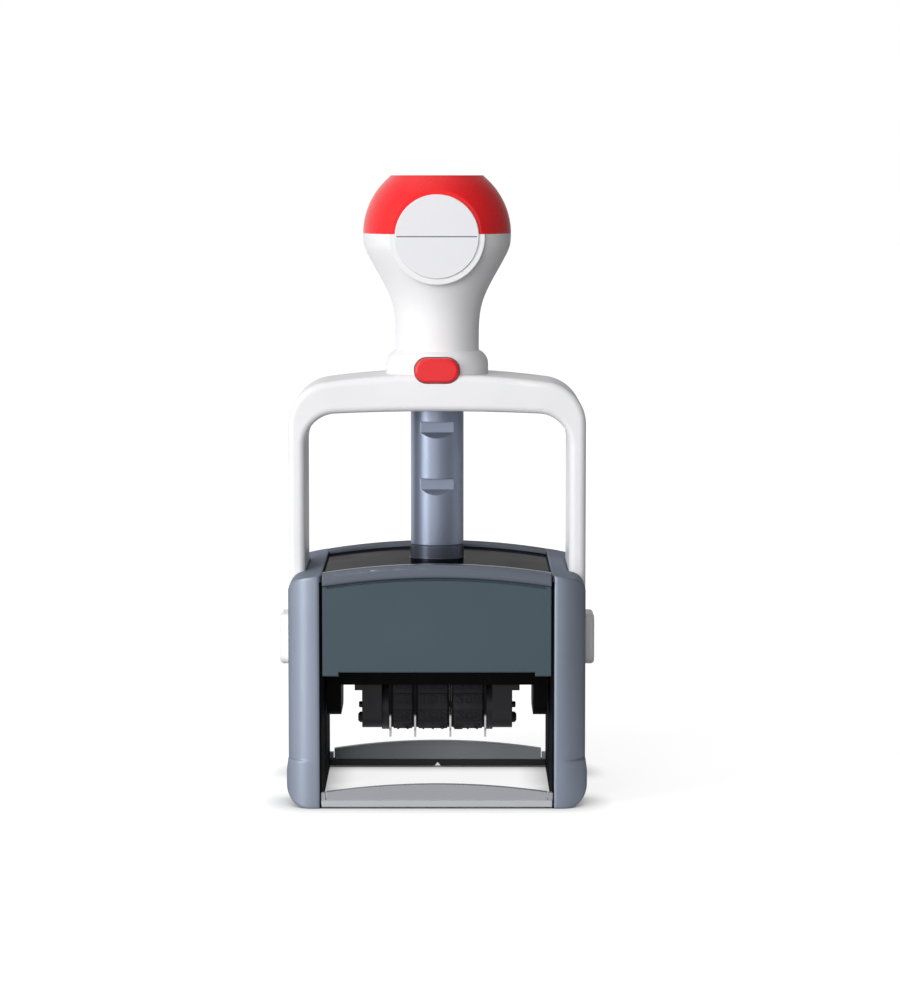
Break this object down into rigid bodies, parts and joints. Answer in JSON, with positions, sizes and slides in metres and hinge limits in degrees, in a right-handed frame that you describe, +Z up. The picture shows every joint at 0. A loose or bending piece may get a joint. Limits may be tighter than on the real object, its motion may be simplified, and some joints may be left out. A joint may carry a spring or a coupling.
{
  "type": "self-inking band stamp",
  "caption": "Self-inking desk stamp: a knob handle and yoke press down, a print block with number bands turns over between ink pad and paper, with a pull-out pad drawer and a lock button.",
  "frame": {"origin": "centre of the base, on the surface that the feet stand on", "axes": "+Z up along the column, -Y towards the user, where the lock button and drawer front are, +X to the user's right"},
  "size_m": [0.0808, 0.0628, 0.158],
  "materials": {
    "frame_grey": "satin moulded plastic, blue grey",
    "roof_black": "polished dark smoke",
    "base_grey": "satin light grey",
    "column_grey": "smooth satin grey",
    "panel_grey": "satin dark grey",
    "black_plastic": "fine matt",
    "white_plastic": "smooth satin white",
    "red_plastic": "smooth gloss red",
    "label_card": "bare card under clear film",
    "steel": "bright",
    "spring_steel": "drawn wire",
    "band_rubber": "moulded matt black",
    "die_rubber": "matt dark red",
    "wheel_plastic": "fine matt",
    "ink_felt": "inked felt"
  },
  "bodies": {
    "frame": {"side_frame_left": "frame_grey", "side_frame_right": "frame_grey", "front_base_bar": "base_grey", "rear_base_bar": "base_grey", "top_cover": "roof_black", "rear_panel": "frame_grey", "rear_screws": "steel", "centre_column": "column_grey", "column_nut": "steel", "drawer_rail_left": "frame_grey", "drawer_rail_right": "frame_grey", "return_spring": "spring_steel"},
    "handle": {"yoke": "white_plastic", "handle_grip": "white_plastic", "knob_cap": "red_plastic", "label_disc": "label_card", "axle_pin_left": "steel", "axle_pin_right": "steel", "pivot_cap_left": "white_plastic", "pivot_cap_right": "white_plastic", "spring_guide": "steel", "guide_screw": "steel"},
    "button": {"lock_button": "red_plastic", "latch_plate": "steel"},
    "print_block": {"block_cheek_left": "black_plastic", "block_cheek_right": "black_plastic", "cam_pin_left": "steel", "cam_pin_right": "steel", "cheek_screws": "steel", "block_frame": "black_plastic", "die_plate": "black_plastic", "text_die": "die_rubber", "number_band_1": "band_rubber", "number_band_2": "band_rubber", "number_band_3": "band_rubber", "band_divider_1": "steel", "band_divider_2": "steel", "band_divider_3": "steel", "band_divider_4": "steel", "band_nose": "black_plastic", "band_end_left": "black_plastic", "band_end_right": "black_plastic", "wheel_shaft": "steel"},
    "ink_drawer": {"drawer_front": "panel_grey", "pad_tray": "black_plastic", "ink_pad": "ink_felt"},
    "wheel_1": {"setting_wheel_1": "wheel_plastic"},
    "wheel_2": {"setting_wheel_2": "wheel_plastic"},
    "wheel_3": {"setting_wheel_3": "wheel_plastic"}
  },
  "joints": [
    {"name": "press_stroke", "type": "slide", "parent": "frame", "child": "handle", "axis": [0, 0, -1], "range_m": [0, 0.03], "stiffness_N_per_m": 250, "springref_m": -0.025, "deforming": ["return_spring"]},
    {"name": "block_flip", "type": "hinge", "parent": "handle", "child": "print_block", "pos_m": [0, 0, 0.041], "axis": [1, 0, 0], "range_deg": [0, 180]},
    {"name": "lock_press", "type": "slide", "parent": "handle", "child": "button", "axis": [0, 1, 0], "range_m": [0, 0.0016], "stiffness_N_per_m": 200, "springref_m": -0.001},
    {"name": "drawer_pull", "type": "slide", "parent": "frame", "child": "ink_drawer", "axis": [0, -1, 0], "range_m": [0, 0.045]},
    {"name": "wheel_1_turn", "type": "hinge", "parent": "print_block", "child": "wheel_1", "pos_m": [0, 0, 0.0215], "axis": [1, 0, 0], "continuous": true},
    {"name": "wheel_2_turn", "type": "hinge", "parent": "print_block", "child": "wheel_2", "pos_m": [0, 0, 0.0215], "axis": [1, 0, 0], "continuous": true},
    {"name": "wheel_3_turn", "type": "hinge", "parent": "print_block", "child": "wheel_3", "pos_m": [0, 0, 0.0215], "axis": [1, 0, 0], "continuous": true}
  ],
  "couplings": [
    {"joint": "block_flip", "follows": "press_stroke", "rad_per_m": 104.72}
  ]
}
